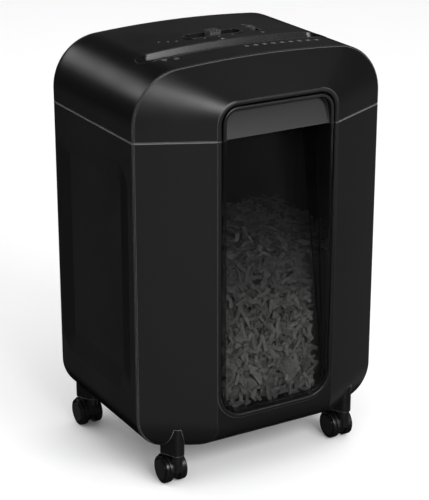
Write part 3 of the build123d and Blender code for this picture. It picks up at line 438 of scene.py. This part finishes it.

# %% [markdown]
# ## The paper's finish
#
# Office paper is matt and nearly white, but in the heap every flake has its own tone, partly from the print
# on it and partly a painted shade for where it lies. Each flake carries a number called tone on its points,
# and the material turns it into a shade of grey. Grey flecks, drawn 2 mm wide, stand for the print.

# %% Paper
def office_paper():
    """Matt paper, toned flake by flake, with broken bits of print."""
    material, tree, shader = new_material("uncoated_office_paper", ior=1.45, roughness=0.85)
    tone = node(tree, "Attribute", {"attribute_name": "tone"})
    place = node(tree, "TexCoord").outputs["Object"]
    print_marks = node(tree, "TexVoronoi", {"Scale": 1 / (2.0 * MM)}, {"Vector": place})
    printed = node(tree, "MapRange", {1: 0.12, 2: 0.22, 3: 0.25, 4: 0.0},
                   {0: print_marks.outputs["Distance"]})
    # Low tones give the painted shade of the heap; the rest of the spread is each flake's own tone.
    paper = node(tree, "Mix", {"data_type": "RGBA", 6: colour("#5d5d5c"), 7: colour("#d8d7d3")},
                 {0: tone.outputs["Fac"]})
    tint = node(tree, "Mix", {"data_type": "RGBA", 7: colour("#3d3d40")},
                {0: printed.outputs[0], 6: paper.outputs[2]})
    tree.links.new(tint.outputs[2], shader.inputs["Base Color"])
    fibres = node(tree, "TexNoise", {"Scale": 1 / (0.6 * MM), "Detail": 3.0}, {"Vector": place})
    bump = node(tree, "Bump", {"Strength": 0.3, "Distance": 0.05 * MM}, {"Height": fibres.outputs[0]})
    tree.links.new(bump.outputs[0], shader.inputs["Normal"])
    return material


paper = office_paper()
print("paper finish:", paper.name)

# %% [markdown]
# ## The heap of shreds
#
# The shreds lie in a loose heap against the window. A heap of single flakes all through would be
# millions of faces that nobody sees, so it is made as a lumpy core with flakes laid over the two faces
# that show: the one behind the window, and the top, which shows when the head is off. Each flake
# is pushed back until no corner of it touches the window, as the pane pushes real ones.

# %% Core of the heap
heap_low, heap_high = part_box("shredded_paper")
window_low, window_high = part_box("window")
WINDOW_LEAN = 0.18                      # back per unit up, as the pane stands
PANE = 2.5 * MM
FLAKES_FRONT = 900
FLAKES_TOP = 1500
LAYER = 9 * MM                          # how deep the laid flakes reach
FADE = 75 * MM                          # height over which the heap darkens into the bin's shade
groove_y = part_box("front_panel")[1].y


def pane_back(z):
    """Depth of the pane's rear face at height z."""
    return window_low.y + PANE + WINDOW_LEAN * (z - window_low.z)


def slab(x, y0, y1, z0, z1, lean):
    """A block from -x to x whose front face leans back with the window."""
    bpy.ops.mesh.primitive_cube_add(size=1.0, location=(0, (y0 + y1) / 2, (z0 + z1) / 2),
                                    scale=(2 * x, y1 - y0, z1 - z0))
    block = bpy.context.object
    edit(block)
    if lean:
        pick("verts", lambda v: v.co.y < 0 < v.co.z)
        bpy.ops.transform.translate(value=(0, lean * (z1 - z0), 0))
    bpy.ops.object.mode_set(mode="OBJECT")
    return block


core_top = heap_high.z - 12 * MM
core_low = heap_low.z + 2 * MM
nose_half = window_high.x - 9 * MM
nose_front = pane_back(window_low.z + 6 * MM) + LAYER + 8 * MM
deselect()
nose = slab(nose_half, nose_front, groove_y + 20 * MM, window_low.z + 4 * MM, core_top, WINDOW_LEAN)
deselect()
body = slab(heap_high.x - 10 * MM, groove_y + 8 * MM, heap_high.y - 8 * MM, core_low + 26 * MM, core_top, 0)
core = join([body, nose], "shred_heap_core")
modify(core, "REMESH", mode="VOXEL", voxel_size=5 * MM)
modify(core, "SMOOTH", factor=0.5, iterations=6)
lumps = bpy.data.textures.new("lumps", "CLOUDS")
lumps.noise_scale = 22 * MM
modify(core, "DISPLACE", texture=lumps, strength=10 * MM, mid_level=0.6, texture_coords="LOCAL")
# The core gets a low tone, a dark grey paper, as painted shade for the gaps between the flakes.
tones = core.data.attributes.new("tone", "FLOAT", "POINT")
tones.data.foreach_set("value", [0.12] * len(core.data.vertices))
settle(core, "bin", paper)

# %% [markdown]
# ## Flakes over the core
#
# Copies of the five flakes are laid on the core, turned at random from a fixed seed. The front layer
# leans with the pane, and its flakes are given darker tones towards the top and deeper behind the pane, a
# painted shade under the head and inside the heap. The top layer lies nearly flat. Each layer is joined into
# one piece.

# %% Flakes over the core
PANE_CLEARANCE = 0.6 * MM
WALL_CLEARANCE = 14 * MM                # from the heap's sides to the middle of a flake
FRONT_SCATTER = 0.45                    # how far flakes turn from lying flat, as a spread of slopes
TOP_SCATTER = 0.35
TOP_DEPTH = 8.0                         # mm over which the top layer is spread
chance = Random(7)


def lay(kind, spot, normal, spin, tone):
    """One flake at spot, facing along normal and turned by spin about it."""
    facing = normal.to_track_quat("Z", "Y").to_matrix().to_4x4()
    turned = Matrix.Translation(spot) @ facing @ Matrix.Rotation(spin, 4, "Z")
    flake = copy_of(kind, turned)
    values = flake.data.attributes.new("tone", "FLOAT", "POINT")
    values.data.foreach_set("value", [tone] * len(flake.data.vertices))
    return flake


def behind_pane(flake):
    """Pushes a flake back until it clears the pane."""
    closest = min(v.co.y - pane_back(v.co.z) for v in flake.data.vertices)
    if closest < PANE_CLEARANCE:
        flake.data.transform(Matrix.Translation((0, PANE_CLEARANCE - closest, 0)))


front = []
for i in range(FLAKES_FRONT):
    z = window_low.z + 3 * MM + (heap_high.z - window_low.z - 8 * MM) * chance.random() ** 0.9
    x = chance.uniform(-nose_half, nose_half)
    depth = LAYER * chance.random()
    normal = Vector((chance.gauss(0, FRONT_SCATTER), -1.0, chance.gauss(0.1, FRONT_SCATTER))).normalized()
    spin = chance.uniform(0, 2 * pi)
    # Painted shade: a flake's tone is lowered towards the heap's top, under the head, and the deeper it lies
    # behind the pane.
    clear_of_painted_shade = min(1.0, (heap_high.z - z) / FADE)
    tone = chance.uniform(0.35, 0.95) * (1 - 0.4 * depth / LAYER) * (0.1 + 0.9 * clear_of_painted_shade)
    flake = lay(chance.choice(shreds), Vector((x, pane_back(z) + depth, z)), normal, spin, tone)
    behind_pane(flake)
    front.append(flake)
front_flakes = join(front, "shreds_behind_window")
settle(front_flakes, "bin", paper, smooth=0)

top = []
for i in range(FLAKES_TOP):
    x = chance.uniform(-heap_high.x + WALL_CLEARANCE, heap_high.x - WALL_CLEARANCE)
    y = chance.uniform(groove_y + 4 * MM, heap_high.y - WALL_CLEARANCE)
    if abs(x) < nose_half - 8 * MM and chance.random() < 0.25:
        y = chance.uniform(pane_back(core_top) + 16 * MM, groove_y + 4 * MM)
    z = core_top + chance.uniform(0.0, TOP_DEPTH) * MM
    normal = Vector((chance.gauss(0, TOP_SCATTER), chance.gauss(0, TOP_SCATTER), 1.0)).normalized()
    flake = lay(chance.choice(shreds), Vector((x, y, z)), normal, chance.uniform(0, 2 * pi),
                chance.uniform(0.2, 1.0))
    behind_pane(flake)
    top.append(flake)
top_flakes = join(top, "shreds_on_top")
settle(top_flakes, "bin", paper, smooth=0)
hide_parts("shredded_paper")
for shred in shreds:
    bpy.data.objects.remove(shred)

# %% [markdown]
# ## Printed marks
#
# The crown carries a row of small printed marks for what may be fed in, two at the slot's left end, some
# beside the controls, and a triangle at the middle of the slot. Pad printing leaves a film of
# ink a few hundredths of a millimetre thick. So each mark is a flat shape with a little thickness, laid on
# the crown and tilted with it. The shapes are plain geometry, with no letters.

# %% Printed marks
def pad_print():
    """Light grey pad-printing ink, a little uneven."""
    material, tree, shader = new_material("grey_pad_print_ink", ior=1.5, roughness=0.5)
    place = node(tree, "TexCoord").outputs["Object"]
    uneven = node(tree, "TexNoise", {"Scale": 1 / (1.5 * MM), "Detail": 2.0}, {"Vector": place})
    tint = node(tree, "Mix", {"data_type": "RGBA", 6: colour("#6d6e70"), 7: colour("#8d8e90")},
                {0: uneven.outputs[0]})
    tree.links.new(tint.outputs[2], shader.inputs["Base Color"])
    return material


ink = pad_print()
INK_THICKNESS = 0.06 * MM
CROWN_RADIUS = 1320 * MM
crown_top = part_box("head_cover")[1].z


def disc(radius, corners=24, hollow=0.0):
    """A flat shape with equal sides; hollow leaves only a border of that width."""
    deselect()
    bpy.ops.mesh.primitive_circle_add(vertices=corners, radius=radius, fill_type="NGON")
    piece = bpy.context.object
    if hollow:
        edit(piece)
        bpy.ops.mesh.inset(thickness=hollow)
        bpy.ops.mesh.delete(type="FACE")
        bpy.ops.object.mode_set(mode="OBJECT")
    return piece


def stroke(length, width, turn=0.0):
    """A straight printed line."""
    deselect()
    bpy.ops.mesh.primitive_plane_add(size=1.0)
    piece = bpy.context.object
    piece.scale = (length, width, 1.0)
    piece.rotation_euler.z = radians(turn)
    bpy.ops.object.transform_apply(location=False, rotation=True, scale=True)
    return piece


def on_crown(pieces, x, y):
    """Lays flat shapes on the crown at a place in millimetres."""
    x, y = x * MM, y * MM
    drop = CROWN_RADIUS - (CROWN_RADIUS ** 2 - x ** 2) ** 0.5
    lean = Matrix.Rotation(x / CROWN_RADIUS, 4, "Y")
    for piece in pieces:
        piece.data.transform(Matrix.Translation((x, y, crown_top - drop + INK_THICKNESS)) @ lean)
    return pieces


FEED_MARKS = 9                          # what may be fed in, one mark each
FEED_START_X, FEED_START_Y = 3.5, -52.0
FEED_PITCH, FEED_DRIFT = 11.3, 0.37     # the row swings forward a little on its way

marks = []
for i in range(FEED_MARKS):
    square = disc(3.2 * MM, 4, hollow=0.45 * MM)
    square.data.transform(Matrix.Rotation(pi / 4, 4, "Z"))
    inner = stroke(2.6 * MM, 0.6 * MM, 45) if i % 3 == 0 else disc(1.1 * MM)
    marks += on_crown([square, inner], FEED_START_X + FEED_PITCH * i, FEED_START_Y - FEED_DRIFT * i)
for x, y in ((-99, -49), (-86, -53)):
    marks += on_crown([disc(2.8 * MM, hollow=0.5 * MM), stroke(3.6 * MM, 0.5 * MM, 45)], x, y)
marks += on_crown([disc(3.0 * MM, 3)], -2, -8.5)
for x, y, turn in ((-69, 19, 0), (-60, 14, 90), (-51, 10, 0), (-18, 3.5, 0), (0, 3.0, 90), (18, 3.5, 0)):
    marks += on_crown([stroke(3.4 * MM, 0.6 * MM, turn), stroke(0.6 * MM, 2.0 * MM, turn)], x, y)
for y in (43.5, 0.5):
    marks += on_crown([disc(2.0 * MM, hollow=0.5 * MM)], 56.5, y)
prints = join(marks, "crown_prints")
modify(prints, "SOLIDIFY", thickness=INK_THICKNESS, offset=-1.0)
settle(prints, "head", ink, smooth=0)

# %% [markdown]
# ## Floor, backdrop and light
#
# The floor and the surroundings are plain and pale. Black plastic shows mostly what it mirrors, so what
# it may mirror is chosen: neither the floor nor the sky is seen by glossy rays, and large soft lamps
# alone draw the highlights on the shoulders and edges, as a studio draws them with softboxes
# against dark cloth.

# %% Floor and sky
deselect()
bpy.ops.mesh.primitive_plane_add(size=12.0, location=(0, 0, -0.2 * MM))
floor = bpy.context.object
floor.name = "floor"
floor_paint, floor_tree, floor_shader = new_material("pale_matt_paint", roughness=0.9)
floor_place = node(floor_tree, "TexCoord").outputs["Object"]
grit = node(floor_tree, "TexNoise", {"Scale": 2.0}, {"Vector": floor_place})
pale = node(floor_tree, "Mix", {"data_type": "RGBA", 6: colour("#f6f6f6"), 7: colour("#fafafa")},
            {0: grit.outputs[0]})
floor_tree.links.new(pale.outputs[2], floor_shader.inputs["Base Color"])
floor.data.materials.append(floor_paint)
floor.visible_glossy = False
floor.visible_shadow = False

world = bpy.data.worlds.new("studio")
bpy.context.scene.world = world
world.use_nodes = True
world.node_tree.nodes["Background"].inputs["Color"].default_value = colour("#ffffff")
world.node_tree.nodes["Background"].inputs["Strength"].default_value = 1.0
world.cycles_visibility.glossy = False
bpy.context.scene.view_settings.view_transform = "Standard"
print("floor measures", [round(size, 2) for size in floor.dimensions], "m")

# %% [markdown]
# ## Lamps
#
# Each lamp is a flat rectangle that a certain face mirrors towards the camera: the shoulders, the
# slopes, the lip and the wings each have their own. Its power sets how light that face looks.

# %% Lamps
CENTRE = (cad_box[0] + cad_box[1]) / 2


def softbox(name, azimuth, elevation, distance, width, height, power):
    """A large flat lamp that looks at the object. Azimuth 0 is in front of it, and 90 to its right."""
    lamp = bpy.data.lights.new(name, "AREA")
    lamp.shape = "RECTANGLE"
    lamp.size, lamp.size_y, lamp.energy = width, height, power
    made = bpy.data.objects.new(name, lamp)
    bpy.context.scene.collection.objects.link(made)
    a, e = radians(azimuth), radians(elevation)
    away = Vector((sin(a) * cos(e), -cos(a) * cos(e), sin(e)))
    facing = away.to_track_quat("Z", "Y").to_matrix().to_4x4()
    made.matrix_world = Matrix.Translation(CENTRE + away * distance) @ facing
    made.visible_camera = False
    return made


softbox("behind_left", -156, 28, 2.0, 0.9, 0.35, 2.5)
softbox("front", 4, 29, 2.0, 1.4, 0.7, 30)
softbox("front_right", 29, 13, 2.2, 0.5, 0.5, 1.3)
softbox("front_right_level", 40, -4, 2.2, 0.6, 0.7, 1.3)
softbox("above_right", 58, 56, 2.2, 0.8, 0.8, 0.5)
softbox("right_low", 97, -21, 1.6, 0.5, 1.0, 0.4)
softbox("behind_low", 150, 18, 2.4, 2.0, 0.5, 0.5)
softbox("left_front_low", -21, -21, 1.8, 0.6, 1.0, 0.6)
softbox("left_behind_low", -149, -21, 1.8, 0.6, 1.0, 0.15)

# %% [markdown]
# ## Camera
#
# The camera stands to the front and left, a little above the object's top, and far enough away for a
# long lens, so that upright edges stay nearly upright.

# %% Camera
CAMERA_AT = Vector((-0.9495, -1.6182, 0.9407))
LOOKS_TO = radians(-30.2)              # turned to the right of straight ahead
LOOKS_DOWN = radians(20.6)
camera = bpy.data.objects.new("camera", bpy.data.cameras.new("camera"))
bpy.context.scene.collection.objects.link(camera)
camera.location = CAMERA_AT
camera.rotation_euler = (pi / 2 - LOOKS_DOWN, 0.0, LOOKS_TO)
camera.data.sensor_width = 36.0
camera.data.lens = 121.9
bpy.context.scene.camera = camera
print("camera stands", round((CAMERA_AT - CENTRE).length, 2), "m from the object's middle")
